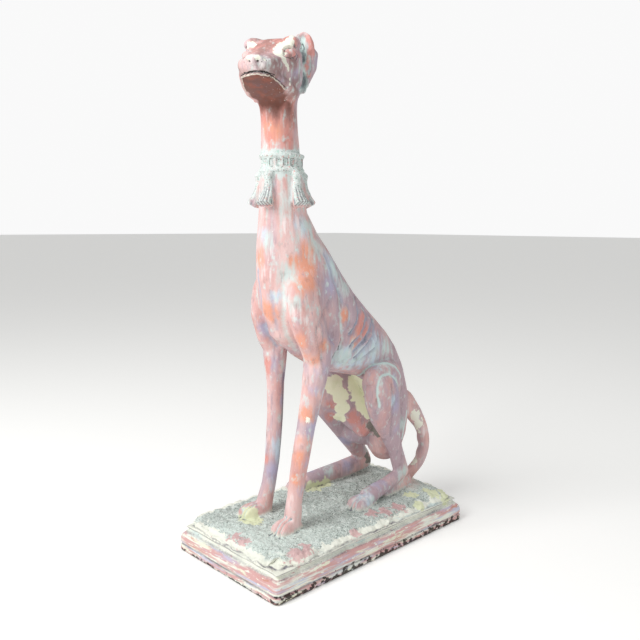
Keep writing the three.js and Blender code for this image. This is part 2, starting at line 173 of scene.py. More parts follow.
def smoothLine(points, steps=4):
    p = np.array(points, float)
    if len(p) < 3:
        return p
    ends = np.vstack([2 * p[0] - p[1], p, 2 * p[-1] - p[-2]])
    out = []
    for i in range(1, len(ends) - 2):
        a, b, c, d = ends[i - 1:i + 3]
        for t in np.arange(steps) / steps:
            out.append(b + t * ((c - a) / 2 + t * ((3 * (c - b) - (c - a) - (d - b) / 2)
                       + t * ((c - a) / 2 + (d - b) / 2 - 2 * (c - b)))))
    return np.vstack([out, p[-1:]])


def nearLine(points, line, reach):
    low, high = line.min(0) - reach, line.max(0) + reach
    picked = np.flatnonzero(np.all((points > low) & (points < high), axis=1))
    best = np.full(len(picked), 1e9)
    near = points[picked]
    if len(line) == 1:
        return picked, np.linalg.norm(near - line[0], axis=1)
    for p, q in zip(line[:-1], line[1:]):
        along = q - p
        share = np.clip(((near - p) @ along) / (along @ along), 0, 1)
        best = np.minimum(best, np.linalg.norm(near - p - share[:, None] * along, axis=1))
    return picked, best


# The tail's round rod
tailSettings = {
    "rows": [                # from the rump down to the ground: middle and radius
        (10, 140, 200, 24), (18, 160, 190, 18), (29, 175, 168, 13), (39, 184, 140, 10), (42, 186, 114, 9),
        (38, 180, 88, 8.8), (27, 169, 66, 9), (15, 163, 48, 9)
    ],
    "steps": 14,
    "behind": 120,           # it lies beyond this y
    "heights": (52, 210),
    "from": (0.22, 0.15),    # share of its length where it is round, and over how much it gets so
    "skin": (9, 3),          # how far outside the rod the skin is drawn in, and over how much it stops
    "foot": 6,               # height over which it runs into the ground
}


def roundTail(points, s):
    line = smoothLine(s["rows"], s["steps"])
    low, high = s["heights"]
    near = np.flatnonzero((points[:, 1] > s["behind"]) & (points[:, 2] > low) & (points[:, 2] < high))
    gaps = np.linalg.norm(points[near][:, None] - line[None, :, :3], axis=2)
    closest = (gaps - line[None, :, 3]).argmin(axis=1)
    gap = gaps[np.arange(len(near)), closest]
    middle, radius = line[closest, :3], line[closest, 3]
    onRod = middle + (points[near] - middle) * (radius / (gap + 1e-9))[:, None]
    outer, fade = s["skin"]
    share = rising(closest / len(line), *s["from"]) * np.clip((outer - gap + radius) / fade, 0, 1)
    share = share * rising(points[near, 2], low, s["foot"])
    points[near] += (onRod - points[near]) * share[:, None]


def turned(points, degrees):
    c, s = math.cos(math.radians(degrees)), math.sin(math.radians(degrees))
    p = np.array(points, float)
    x, y = p[:, 0].copy(), p[:, 1].copy()
    p[:, 0], p[:, 1] = x * c - y * s, x * s + y * c
    return p


def mirrorBody(points):
    return np.array(points, float) * (-1, 1, 1)


def mirrorHead(points):  # across the head's own middle plane
    x, y, turn = castingSettings["head"]
    local = turned(np.array(points, float) - (x, y, 0), -turn)
    return turned(local * (-1, 1, 1), turn) + (x, y, 0)


# Carved lines: width, depth (below zero stands proud), what is painted in them and how much, and their points;
# the dark layer in creases is dirt with painted shade, the shade layer is painted shade, wash is mint paint
# gathered in hollows
bodyLines = {
    "behindArm": (3.4, 2.6, "wash", 0.5, [
        (46, -26, 392), (50, -27, 376), (51, -26, 360), (50, -24, 344), (48, -20, 329), (46, -16, 317),
        (43, -17, 305), (36, -20, 291), (28, -19, 277)]),
    "elbowFold": (2.2, 1.6, "grime", 0.8, [(46, -17, 318), (43, -18, 305), (36, -21, 291), (28, -20, 277)]),
    "rib1": (3.6, 2.0, "rib", 0.5, [(50, -10, 367), (51, -7, 355), (50, -8, 342), (49, -15, 330)]),
    "rib2": (3.6, 4.2, "rib", 1.0, [
        (39, 16, 376), (46, 15, 364), (49, 14, 349), (51, 6, 335), (49, -4, 323)]),
    "rib3": (3.8, 4.6, "rib", 1.1, [
        (38, 33, 368), (41, 38, 352), (48, 31, 338), (50, 22, 324), (48, 9, 312), (45, 2, 303)]),
    "rib4": (3.8, 4.6, "rib", 1.1, [
        (37, 49, 352), (42, 51, 339), (49, 39, 324), (49, 26, 310), (45, 11, 296)]),
    "rib5": (3.6, 4.2, "rib", 1.0, [
        (37, 59, 341), (46, 53, 327), (49, 46, 313), (47, 32, 299), (40, 16, 284)]),
    "rib6": (3.4, 3.0, "rib", 0.7, [
        (43, 64, 326), (47, 62, 311), (47, 53, 296), (43, 37, 285), (36, 21, 276)]),
    "shoulderFold": (6.0, 1.6, "wash", 0.3, [
        (58, -81, 383), (60, -93, 367), (61, -99, 352), (61, -95, 333), (61, -89, 318)]),
    "armFold": (5.0, 1.8, "shade", 0.3, [
        (49, -44, 380), (54, -58, 362), (62, -78, 350), (64, -85, 336), (63, -80, 317), (59, -71, 298)]),
    "armLine": (3.0, 0.8, "shade", 0.3, [(64, -74, 336), (64, -73, 316), (59, -71, 293)]),
    "bladeEdge": (5.0, 2.6, "rib", 0.8, [
        (40, -48, 441), (43, -40, 426), (46, -36, 407), (48, -27, 390), (50, -21, 374)]),
    "neckRidge": (6.0, -1.6, None, 0, [(37, -87, 471), (40, -79, 452), (43, -70, 438), (45, -58, 428)]),
    "pectoral": (6.0, 1.2, "wash", 0.6, [
        (28, -113, 399), (27, -112, 373), (22, -110, 354), (19, -104, 336), (17, -94, 321), (11, -78, 303)]),
    "innerPectoral": (5.0, 1.4, "rib", 0.6, [
        (14, -125, 391), (14, -121, 373), (12, -116, 354), (9, -110, 336)]),
}
singleLines = {  # on one side alone
    "innerLeg": (4.0, 0.3, "shade", 0.9, [
        (-28, -66, 262), (-27, -66, 200), (-28, -68, 130), (-30, -74, 80)]),
    "kneeArc": (3.0, 2.6, "wash", 1.0, [
        (64, 47, 208), (63, 43, 226), (63, 43, 241), (63, 49, 253), (63, 64, 257), (63, 78, 252),
        (58, 96, 238), (50, 108, 222), (46, 112, 206), (46, 112, 192)]),
    "thighArc": (3.4, -1.2, "wash", 1.0, [
        (10, 56, 248), (29, 49, 260), (36, 54, 265), (44, 59, 269), (50, 66, 271), (52, 78, 269),
        (54, 90, 263), (51, 108, 244)]),
    "haunchBack": (3.2, 0.6, "wash", 1.0, [(38, 144, 179), (38, 140, 163), (38, 137, 147), (36, 136, 133)]),
    "shankPlane": (4.0, 1.0, "shade", 0.4, [(68, 70, 241), (70, 70, 216), (66, 73, 183), (59, 80, 155)]),
    "pectoralRight": (5.0, 2.0, "rib", 0.8, [
        (-10, -130, 420), (-9, -129, 399), (-8, -128, 378), (-14, -120, 356), (-28, -104, 333),
        (-30, -90, 318), (-28, -79, 305)]),
}
headLines = {
    "eyeRim": (1.7, 1.8, "grime", 0.75, [
        (46, -128, 699), (41, -122, 705), (40, -115, 708), (41, -109, 708), (42, -104, 704),
        (42, -103, 700), (45, -111, 696), (49, -122, 693), (50, -129, 694), (46, -128, 699)]),
    "upperLid": (2.0, -1.6, None, 0, [
        (45, -131, 702), (41, -124, 709), (40, -114, 712), (40, -106, 710), (41, -101, 703)]),
    "eyeBack": (1.8, 1.6, "grime", 0.9, [
        (39, -107, 714), (38, -101, 709), (40, -99, 701), (44, -106, 693)]),
    "cheek": (5.0, 1.2, None, 0, [(51, -122, 683), (46, -113, 675), (46, -115, 662)]),
    "earFront": (1.7, 2.4, "grime", 0.85, [
        (40, -101, 723), (40, -97, 711), (40, -95, 697), (40, -94, 684), (37, -92, 674), (32, -88, 665)]),
    "earRoot": (1.3, 1.6, "grime", 0.85, [
        (24, -79, 724), (26, -78, 712), (31, -82, 700), (34, -86, 690), (30, -80, 680), (26, -78, 670)]),
    "earHollow": (4.4, 3.6, "wash", 1.4, [
        (22, -75, 728), (23, -74, 716), (25, -74, 705), (28, -76, 696), (28, -76, 686), (25, -74, 676),
        (23, -74, 668)]),
    "earStreak": (1.2, 1.0, "grime", 0.7, [(20, -77, 731), (22, -76, 724), (22, -76, 717)]),
    "earStreakLow": (1.2, 1.0, "shade", 0.9, [(31, -81, 697), (31, -81, 690), (30, -79, 684)]),
    "earRidge": (2.4, -2.0, None, 0, [
        (32, -72, 729), (34, -70, 720), (32, -70, 713), (27, -72, 706), (24, -72, 698), (25, -72, 689),
        (28, -72, 678), (29, -72, 668)]),
    "earRear": (2.6, 2.0, "wash", 0.8, [(30, -70, 707), (31, -69, 697), (30, -70, 683)]),
}
mouthLine = [
    (19, -181, 665), (24, -180, 667), (33, -181, 668), (39, -178, 669), (47, -174, 669), (52, -169, 668),
    (57, -163, 666), (57, -154, 663), (53, -142, 660), (49, -132, 657), (46, -125, 655)
]
mouthCuts = [(3.2, 1.2, -1.3, "edge", 1.0), (0, 1.1, 2.2, "grime", 1.1)]  # drop, then as in the tables above
headPits = {  # width, depth and place
    "nostrilLeft": (2.4, 3.0, (54, -178, 680)),
    "nostrilRight": (2.4, 3.0, (45, -186, 679)),
    "pitA": (1.3, 1.0, (59, -168, 682)),
    "pitB": (1.0, 0.8, (56, -173, 679)),
    "pitC": (1.2, 1.0, (36, -185, 680)),
}
# darkness painted into the nostrils and pits: dirt with painted shade
pitDirtAndShade = 1.2
pawSettings = {
    "paws": [(34, -114, 6), (-43, -112, -8), (45, 30, -2), (-74, 8, -4)],  # place and turn
    "grooves": (-8.2, 0, 8.2),
    "path": [(0.9, 2, 22), (1, -10, 21), (1.05, -20, 15), (1.1, -26, 4)],  # share of its x, then y and z
    "width": 1.9,
    "depth": 2.6,
    "stainOrShade": 0.6,
    "ground": 48,
}
carvingSettings = {"snap": 25, "reach": 3, "stainAndShadeWidth": 0.8}  # the last two are shares of a line's width


def laidOn(points, line):  # moves a line's points onto the skin
    picked = nearLine(points, line, carvingSettings["snap"])[0]
    closest = [picked[np.argmin(np.sum((points[picked] - place) ** 2, axis=1))] for place in line]
    return points[[k for i, k in enumerate(closest) if i == 0 or k != closest[i - 1]]]


def carve(points, normals, line, width, depth, stainsAndShade, stainOrShade, amount):
    line = laidOn(points, line)
    picked, away = nearLine(points, line, width * carvingSettings["reach"])
    points[picked] -= normals[picked] * (depth * np.exp(-(away / width) ** 2))[:, None]
    # the line's layer, whether mint wash, cream edge, lavender, dirt with painted shade or painted shade, is
    # marked most along its middle
    if stainOrShade:
        markShare = amount * np.exp(-(away / (width * carvingSettings["stainAndShadeWidth"])) ** 2)
        stainsAndShade[stainOrShade][picked] = np.maximum(stainsAndShade[stainOrShade][picked], markShare)


def carveDog(mesh, points, stainsAndShade):
    normals = normalsOf(mesh, points)

    def cut(line, width, depth, stainOrShade, amount):
        carve(points, normals, smoothLine(line), width, depth, stainsAndShade, stainOrShade, amount)

    for width, depth, stainOrShade, amount, line in bodyLines.values():
        cut(line, width, depth, stainOrShade, amount)
        cut(mirrorBody(line), width, depth, stainOrShade, amount)
    for width, depth, stainOrShade, amount, line in singleLines.values():
        cut(line, width, depth, stainOrShade, amount)
    for width, depth, stainOrShade, amount, line in headLines.values():
        cut(line, width, depth, stainOrShade, amount)
        cut(mirrorHead(line), width, depth, stainOrShade, amount)
    for line in (mouthLine, mirrorHead(mouthLine)):
        for drop, width, depth, stainOrShade, amount in mouthCuts:
            cut(np.array(line, float) - (0, 0, drop), width, depth, stainOrShade, amount)
    for width, depth, place in headPits.values():
        carve(points, normals, np.array([place], float), width, depth, stainsAndShade, "grime", pitDirtAndShade)
    s = pawSettings
    for x, y, turn in s["paws"]:
        for across in s["grooves"]:
            groove = [(across * share, along, height) for share, along, height in s["path"]]
            cut(turned(groove, turn) + (x, y, s["ground"]), s["width"], s["depth"], "wash", s["stainOrShade"])
    return points


# Collar: a row of sunk panels between the rims, and strands cut down each tassel
collarSettings = {
    "panels": 18,
    "sunk": 2.0,
    "band": 5.0,               # half height of the panels
    "share": 0.64,             # of its place in the row that a panel takes
    "edges": (12, 1.2),        # how sharp the panels' sides and ends are
    "ring": (24, 33),          # the band's radii
    "outline": 0.95,           # dirt with painted shade round the panels
    "outlineWidth": (0.07, 0.9),
    "strands": 5,
    "strandDepth": 1.5,
    "gapDirtAndShade": 0.95,
    "tassels": 5,
    "turn": 16,                # the throat's tassel hangs this many degrees to the dog's left
    "hang": (10, 50),          # where the strands start and end below the band
    "front": (23, 0.36),       # a tassel's distance from the neck's middle, and how it grows on the way down
    "side": 15,
    "spread": (5.5, 0.18),     # half width, and how it grows
    "fade": 12,
}


def carveCollar(mesh, points, stainsAndShade, s):
    normals = normalsOf(mesh, points)
    x, y, z, half = castingSettings["collar"]
    east, north = points[:, 0] - x, points[:, 1] - y
    away = np.hypot(east, north)
    angle = np.arctan2(north, east)
    turn = (angle / (2 * math.pi) * s["panels"]) % 1
    inPanel = np.clip((s["share"] / 2 - np.abs(turn - 0.5)) * s["edges"][0], 0, 1)
    inBand = np.clip((s["band"] - np.abs(points[:, 2] - z)) / s["edges"][1], 0, 1)
    onBand = (away > s["ring"][0]) & (away < s["ring"][1])
    points -= normals * (s["sunk"] * (inPanel * inBand * onBand))[:, None]
    beside = np.exp(-((np.abs(turn - 0.5) - s["share"] / 2) / s["outlineWidth"][0]) ** 2) * inBand
    above = np.exp(-((np.abs(points[:, 2] - z) - s["band"]) / s["outlineWidth"][1]) ** 2) * inPanel
    # dirt with painted shade round the sunk panels
    stainsAndShade["grime"] = np.maximum(stainsAndShade["grime"], s["outline"] * np.maximum(beside, above) * onBand)
    start, end = s["hang"]
    for k in range(s["tassels"]):
        heading = math.radians(s["turn"] + 360 / s["tassels"] * k - 90)
        out = east * math.cos(heading) + north * math.sin(heading)
        side = -east * math.sin(heading) + north * math.cos(heading)
        height = points[:, 2] - (z - half)
        onFront = out > s["front"][0] - height * s["front"][1]
        picked = onFront & (np.abs(side) < s["side"]) & (height < -start) & (height > -end)
        spread = s["spread"][0] - height * s["spread"][1]
        wave = 0.5 - 0.5 * np.cos(2 * math.pi * side / (2 * spread) * s["strands"])
        deeper = rising(-height, start, s["fade"])
        points[picked] -= (normals * (s["strandDepth"] * wave * deeper)[:, None])[picked]
        # painted shade, with some dirt, in the gaps between the tassel's strands
        stainsAndShade["shade"][picked] = np.maximum(stainsAndShade["shade"], s["gapDirtAndShade"] * wave ** 2 * deeper)[picked]
    return points


# Ground and plinth: stippled ground, chipped edges. Each noise is an amount, a size and a seed.
groundSettings = {
    "upward": (41, 0.3),                         # the ground is above this height and less steep than this
    "stipple": (1.4, 3.2, 3),
    "lumps": (1.5, 9, 4),
    "grooves": [(11, 1.3), (30, 1.6), (35.5, 1.0), (42.5, 1.6)],  # heights and widths in the mouldings
    "grooveDirtAndShade": (0.75, 0.5, 18, 9),            # painted shade with dirt in the mouldings' grooves: least, then a noise
    "grooveSlope": (0.9, 4),
    "slab": (37, 6),                             # height where the slab starts, and over how much it wears
    "half": (100, 187),
    "middle": 99,                                # farther in than this counts as this far in
    "wear": 3.4,
    "wearNoise": [(0.9, 16, 11), (0.5, 7, 12)],
    "wearMost": 9,
    "round": 5,
    "broken": [(104, -191, 44, 15), (-104, -191, 26, 8), (106, -120, 16, 6), (30, -192, 18, 6),
               (106, 40, 14, 4), (104, 191, 30, 8)],  # place, reach and loss
    "brokenNoise": (0.4, 9, 13),
    "sunk": 0.4,                                 # share of the loss that the top drops by
    "sides": (50, 0.9),                          # the plinth's sides are below this height and steeper
    "chips": (1.6, 13, 5),
    "chipFrom": (1.6, 0.35),
    "pits": (0.35, 4, 6),
}
noiseCells = 64
noiseShift = 224  # cells, so that none is below zero


def noise(points, size, seed):  # smooth noise from a lattice of seeded values, about -1 to 1
    draw = np.random.default_rng(seed)
    table = draw.uniform(-1, 1, (noiseCells,) * 3)
    cell = points / size + noiseShift
    base = np.floor(cell).astype(int)
    part = cell - base
    part = part * part * (3 - 2 * part)
    total = np.zeros(len(points))
    for i in (0, 1):
        for j in (0, 1):
            for k in (0, 1):
                weight = (np.where(i, part[:, 0], 1 - part[:, 0]) * np.where(j, part[:, 1], 1 - part[:, 1])
                          * np.where(k, part[:, 2], 1 - part[:, 2]))
                x, y, z = ((base + (i, j, k)) % noiseCells).T
                total += weight * table[x, y, z]
    return total


def roughenBase(mesh, points, dog, stainsAndShade, s):
    normals = normalsOf(mesh, points)
    flatness = np.abs(normals[:, 2])
    top = (points[:, 2] > s["upward"][0]) & (normals[:, 2] > s["upward"][1])
    amount = np.where(top, 1.0, 0.0) * (1 - dog)
    stipple = sum(noise(points, size, seed) * share for share, size, seed in (s["stipple"], s["lumps"]))
    points = points + normals * (amount * stipple)[:, None]
    least, share, size, seed = s["grooveDirtAndShade"]
    onSide = np.clip((s["grooveSlope"][0] - flatness) * s["grooveSlope"][1], 0, 1)
    # painted shade with dirt along the grooves of the plinth's mouldings
    for level, width in s["grooves"]:
        line = np.exp(-((points[:, 2] - level) / width) ** 2) * (1 - dog) * onSide
        stainsAndShade["shade"] = np.maximum(stainsAndShade["shade"], line * (least + share * noise(points, size, seed)))
    # the ground's edge is worn round, and its corner beside the left forepaw is broken off
    high = rising(points[:, 2], *s["slab"]) * (1 - dog)
    rim = np.min(s["half"] - np.abs(points[:, :2]), axis=1)
    uneven = 1
    for share, size, seed in s["wearNoise"]:
        uneven = uneven + share * noise(points, size, seed)
    wear = np.clip(s["wear"] * uneven, 0, s["wearMost"])
    points[:, 2] -= high * wear * np.exp(-np.clip(rim, 0, s["middle"]) / s["round"])
    share, size, seed = s["brokenNoise"]
    for x, y, reach, loss in s["broken"]:
        near = np.clip(1 - np.hypot(points[:, 0] - x, points[:, 1] - y) / reach, 0, 1) * high
        ragged = 1 + share * noise(points, size, seed)
        points[:, :2] -= np.sign((x, y)) * (near * loss * ragged)[:, None]
        points[:, 2] -= near * loss * s["sunk"]
    side = (points[:, 2] < s["sides"][0]) & (flatness < s["sides"][1])
    chip, chipSize, chipSeed = s["chips"]
    pit, pitSize, pitSeed = s["pits"]
    gain, start = s["chipFrom"]
    worn = np.clip(noise(points, chipSize, chipSeed) * gain - start, 0, 1) * chip
    worn = worn + np.abs(noise(points, pitSize, pitSeed)) * pit
    return points - normals * (np.where(side, worn, 0) * (1 - dog))[:, None]


def castGreyhound(s):
    mesh = fineSkin("greyhound_statue", s)
    points = readPoints(mesh)
    edges = np.empty(len(mesh.edges) * 2, np.int32)
    mesh.edges.foreach_get("vertices", edges)
    edges = edges.reshape(-1, 2)
    print("fine skin of", len(points), "points")
    height = points[:, 2]
    dog = rising(height, *s["dogFrom"])
    x, y, z, half = s["collar"]
    away = np.hypot(points[:, 0] - x, points[:, 1] - y)
    drop, rise, inner, rear = s["tassels"]
    atCollar = (np.abs(height - z) < half) & (away < s["collarReach"])
    level = (height > z - half - drop) & (height <= z - half + rise)
    atTassel = level & (away > inner) & (points[:, 1] < rear)
    atPaw = (height > s["paws"][0]) & (height < s["paws"][1])
    weight = dog
    for place, kept in zip((atCollar, atTassel, atPaw), s["kept"]):
        weight = weight * np.where(place, kept, 1)
    points = relax(points, edges, weight[:, None], s["rounding"])
    points = relax(points, edges, *s["first"])
    for place, reach, rounds in s["melt"]:
        melt(points, edges, place, reach, rounds)
    roundTail(points, tailSettings)
    print("facets rounded")
    stainsAndShade = {name: np.zeros(len(points)) for name in ("grime", "shade", "wash", "edge", "rib")}
    points = carveDog(mesh, points, stainsAndShade)
    points = carveCollar(mesh, points, stainsAndShade, collarSettings)
    points = relax(points, edges, *s["last"])
    points = roughenBase(mesh, points, dog, stainsAndShade, groundSettings)
    print("carving done")
    markPaint(mesh, points, edges, dog, stainsAndShade, layerSettings)
    low, high = np.array(cadLow) / mm, np.array(cadHigh) / mm
    points[:, 2] = np.clip(points[:, 2], 0, s["top"])
    points[:, :2] = np.clip(points[:, :2], low[:2], high[:2])
    writePoints(mesh, points)
    casting = bpy.data.objects.new("greyhoundCasting", mesh)
    bpy.context.scene.collection.objects.link(casting)
    thin = casting.modifiers.new("thin", "DECIMATE")
    thin.ratio = s["faces"] / (2 * len(mesh.polygons))
    graph = bpy.context.evaluated_depsgraph_get()
    done = bpy.data.meshes.new_from_object(casting.evaluated_get(graph))
    casting.modifiers.clear()
    casting.data = done
    writePoints(done, np.clip(readPoints(done), low, high))
    done.polygons.foreach_set("use_smooth", np.ones(len(done.polygons), bool))
    print("casting has", len(done.polygons), "triangles")
    return casting


# Patches of worn paint, of paint tones, and of painted shade under the jaw and in crevices, as blobs: place and
# radius
wornPaint = {
    "ridge": [
        (32, -71, 729, 5), (34, -68, 721, 5), (33, -69, 712, 5), (28, -71, 703, 4), (26, -72, 693, 3.5),
        (28, -72, 682, 3.5), (44, -112, 702, 5)],
    "orange": [
        (41, -92, 218, 10), (45, -97, 183, 10), (46, -100, 162, 10), (43, -107, 126, 6),
        (41, -87, 426, 13), (52, -98, 403, 13), (48, -100, 319, 11), (10, -123, 363, 12),
        (-5, -130, 436, 12), (50, 15, 325, 9), (47, 4, 311, 8), (46, -89, 299, 11), (51, -17, 353, 8),
        (12, -120, 610, 14), (21, -135, 514, 8), (63, -69, 317, 8), (41, -79, 448, 9), (37, -99, 432, 8)],
    "mauve": [
        (48, 10, 330, 50), (45, 80, 200, 46), (55, 95, 130, 40), (50, 60, 66, 30), (-50, 20, 320, 60),
        (-50, 90, 180, 60), (0, 110, 250, 60), (30, -40, 400, 30), (-40, -80, 120, 34), (-60, 60, 80, 40),
        (30, -60, 690, 40), (58, -150, 668, 24), (44, -60, 280, 18), (40, -75, 200, 18),
        (-20, -50, 560, 30)],
    # brown paint on the head, and painted shade on the throat under the jaw
    "brown": [
        (15, -122, 630, 13), (30, -98, 628, 14), (38, -100, 642, 14), (15, -134, 713, 14),
        (1, -118, 727, 12), (24, -146, 700, 12), (48, -116, 688, 10), (58, -156, 674, 16),
        (50, -160, 676, 15), (57, -148, 670, 13), (48, -128, 664, 13), (42, -104, 662, 14),
        (30, -170, 690, 9), (40, -100, 645, 14), (20, -178, 676, 9), (54, -170, 672, 9)],
    "blue": [
        (38, -2, 285, 20), (45, 22, 278, 20), (46, 45, 285, 18), (44, -8, 300, 14), (45, -35, 425, 16),
        (48, -60, 300, 10), (44, -66, 250, 9), (44, -68, 215, 10), (46, 60, 300, 14), (34, -88, 480, 12),
        (66, 70, 215, 7), (52, 30, 62, 12), (-30, -75, 150, 12), (-30, -74, 90, 12), (0, -124, 470, 8),
        (16, -120, 385, 7), (90, -40, 20, 30), (92, -150, 24, 24)],
    "mint": [
        (21, -76, 731, 6), (24, -75, 717, 6), (31, -84, 702, 6), (40, -93, 686, 6), (35, -89, 672, 6),
        (23, -75, 668, 6), (-68, -42, 51, 5), (-42, -52, 51, 5), (3, 52, 51, 5), (45, 39, 75, 5),
        (58, 39, 61, 5), (-48, -129, 64, 5), (52, -109, 375, 13), (33, -107, 418, 13),
        (11, -127, 459, 10), (39, -4, 290, 15), (41, 22, 281, 12), (46, 48, 291, 13), (44, 87, 292, 14),
        (55, 68, 268, 12), (40, -65, 454, 18), (36, -76, 478, 14), (45, -12, 392, 15), (43, -30, 418, 12),
        (0, -93, 512, 27), (0, -93, 540, 26), (0, -93, 562, 22), (56, -173, 672, 10), (23, -75, 715, 11),
        (35, -85, 686, 9), (24, -75, 665, 8), (-53, 145, 94, 9), (-49, 147, 69, 9), (-29, -68, 198, 8),
        (-27, -68, 160, 8), (-30, -70, 128, 8), (39, 131, 158, 9), (66, 45, 232, 4), (64, 69, 255, 4),
        (51, 124, 87, 8), (50, 67, 51, 8), (-58, 62, 73, 10), (-45, -30, 400, 20), (-42, 40, 300, 18),
        (-45, 90, 280, 16)],
    "lavender": [
        (-29, -65, 259, 9), (-32, -62, 220, 9), (-28, -67, 175, 9), (-30, -70, 128, 9), (-96, -27, 51, 9),
        (59, -70, 278, 8), (56, -75, 253, 8), (52, -82, 196, 8), (50, -92, 154, 8), (48, -101, 111, 8),
        (48, -50, 394, 14), (-33, -99, 330, 12), (67, 83, 206, 13), (63, 88, 164, 12), (40, 65, 78, 13),
        (-52, 91, 120, 12), (-52, 104, 73, 12), (-33, -84, 284, 10), (-76, 33, 76, 9), (-29, -83, 116, 9),
        (50, -47, 320, 10), (61, 85, 244, 10), (53, -138, 661, 8), (44, -106, 675, 8), (30, -57, 701, 6),
        (-48, -60, 380, 14)],
    "red": [
        (47, 22, 334, 11), (0, -118, 632, 20), (14, -118, 622, 16), (24, -110, 640, 14),
        (20, -118, 706, 24), (0, -110, 640, 22), (-18, -105, 622, 16), (10, -118, 600, 14),
        (26, -100, 625, 12), (-16, 77, 169, 11), (-9, 87, 148, 11), (-31, 46, 193, 9), (-45, 49, 173, 10),
        (-44, -87, 275, 10), (33, -114, 719, 8), (14, -129, 717, 10), (23, -107, 594, 10),
        (-41, -90, 133, 8), (93, 64, 48, 8)],
    "white": [
        (29, 175, 168, 9), (39, 184, 140, 10), (42, 186, 114, 9), (38, 180, 88, 9), (-54, -64, 52, 4.5),
        (39, -111, 101, 4.5), (50, 14, 65, 4.5), (43, 33, 70, 4.5), (-16, 69, 52, 4.5),
        (48, -184, 685, 9), (56, -176, 682, 9), (40, -186, 690, 7), (50, -180, 675, 7),
        (51, -112, 365, 10), (28, -111, 380, 8), (20, -123, 441, 9), (12, -129, 421, 9),
        (29, -109, 482, 10), (45, -84, 267, 8), (59, -103, 355, 8), (-48, -87, 224, 7), (55, 22, 65, 9),
        (63, -81, 51, 9), (46, 14, 64, 8)],
    "peel": [
        (38, -113, 716, 7), (33, -118, 713, 7), (36, -128, 707, 7.5), (43, -134, 699, 7.5),
        (50, -139, 693, 6), (53, -135, 687, 6), (53, -130, 683, 5), (50, -125, 679, 3.5),
        (37, -108, 724, 4), (-8, -141, 715, 5), (-2, -139, 715, 5), (47, -185, 685, 3.5),
        (55, -179, 684, 3.2), (40, -187, 688, 2.5), (59, -170, 683, 2), (62, -165, 680, 1.6),
        (46, -184, 676, 1.6), (45, -117, 668, 2.5), (50, -121, 661, 2.5), (40, 166, 167, 9),
        (42, 169, 153, 9), (40, 170, 141, 6), (38, 170, 109, 4), (35, 165, 88, 7), (50, -88, 211, 4)],
    "bare": [
        (-31, 43, 227, 14), (-26, 52, 210, 13), (-26, 57, 187, 11), (-35, 62, 168, 9), (-11, 78, 230, 15),
        (-4, 84, 214, 15), (-1, 88, 196, 14), (4, 91, 180, 12)],
    # grey patches of painted shade in the crevice between thigh and belly and beside the tail's foot
    "dark": [(-49, 147, 72, 6), (-50, 143, 82, 5), (2, 98, 156, 7), (9, 104, 144, 7), (6, 101, 150, 8)],
    "groundYellow": [
        (-32, -131, 55, 12), (-20, -128, 53, 10), (-56, 19, 52, 10), (-58, 50, 52, 10), (-57, 34, 52, 8),
        (83, 155, 50, 12), (105, 167, 43, 9), (98, 107, 48, 8), (92, 180, 48, 10), (70, 120, 50, 10)],
    "groundPale": [
        (30, -160, 50, 60), (60, -100, 50, 40), (-20, -170, 50, 40), (-80, -60, 50, 30), (60, 150, 50, 30)],
    "groundPink": [
        (75, 21, 51, 10), (83, 42, 50, 11), (86, 71, 49, 11), (90, -130, 49, 11), (92, -146, 46, 12),
        (14, -177, 48, 10), (-4, -178, 47, 9), (98, -40, 44, 7)],
}
# What the paint follows, marked on each point of the casting
layerSettings = {
    "rounds": (10, 50),          # smoothing that tells narrow hollows, then broad ones
    "hollow": (0.8, 0.25),       # share of each
    "flat": (0.45, 0.25),        # slope where the ground's paint starts, and over how much
    "ground": (41, 3),
    "rim": 9,
    "tier": (31, 3),             # top of the lower tier
    "soil": (15, 7),             # height of the soil along the left side and elsewhere
    "leftSide": 100,
    "blobEdge": 1.6,             # a blob fades out at this share of its radius
    "lips": (655, 50, 3, 0.6, 1.4),  # height at a distance forward, run for each rise, and the lip's edge
    "chinSlope": (0.6, 3),
    "chinHeight": (620, 22),
    "chinForward": (6, 22),
    "collar": (2, 38),
    "tassels": (48, 3, 29, 0.29, -55),  # drop, rise, distance from the middle, its growth, and rearmost y
}


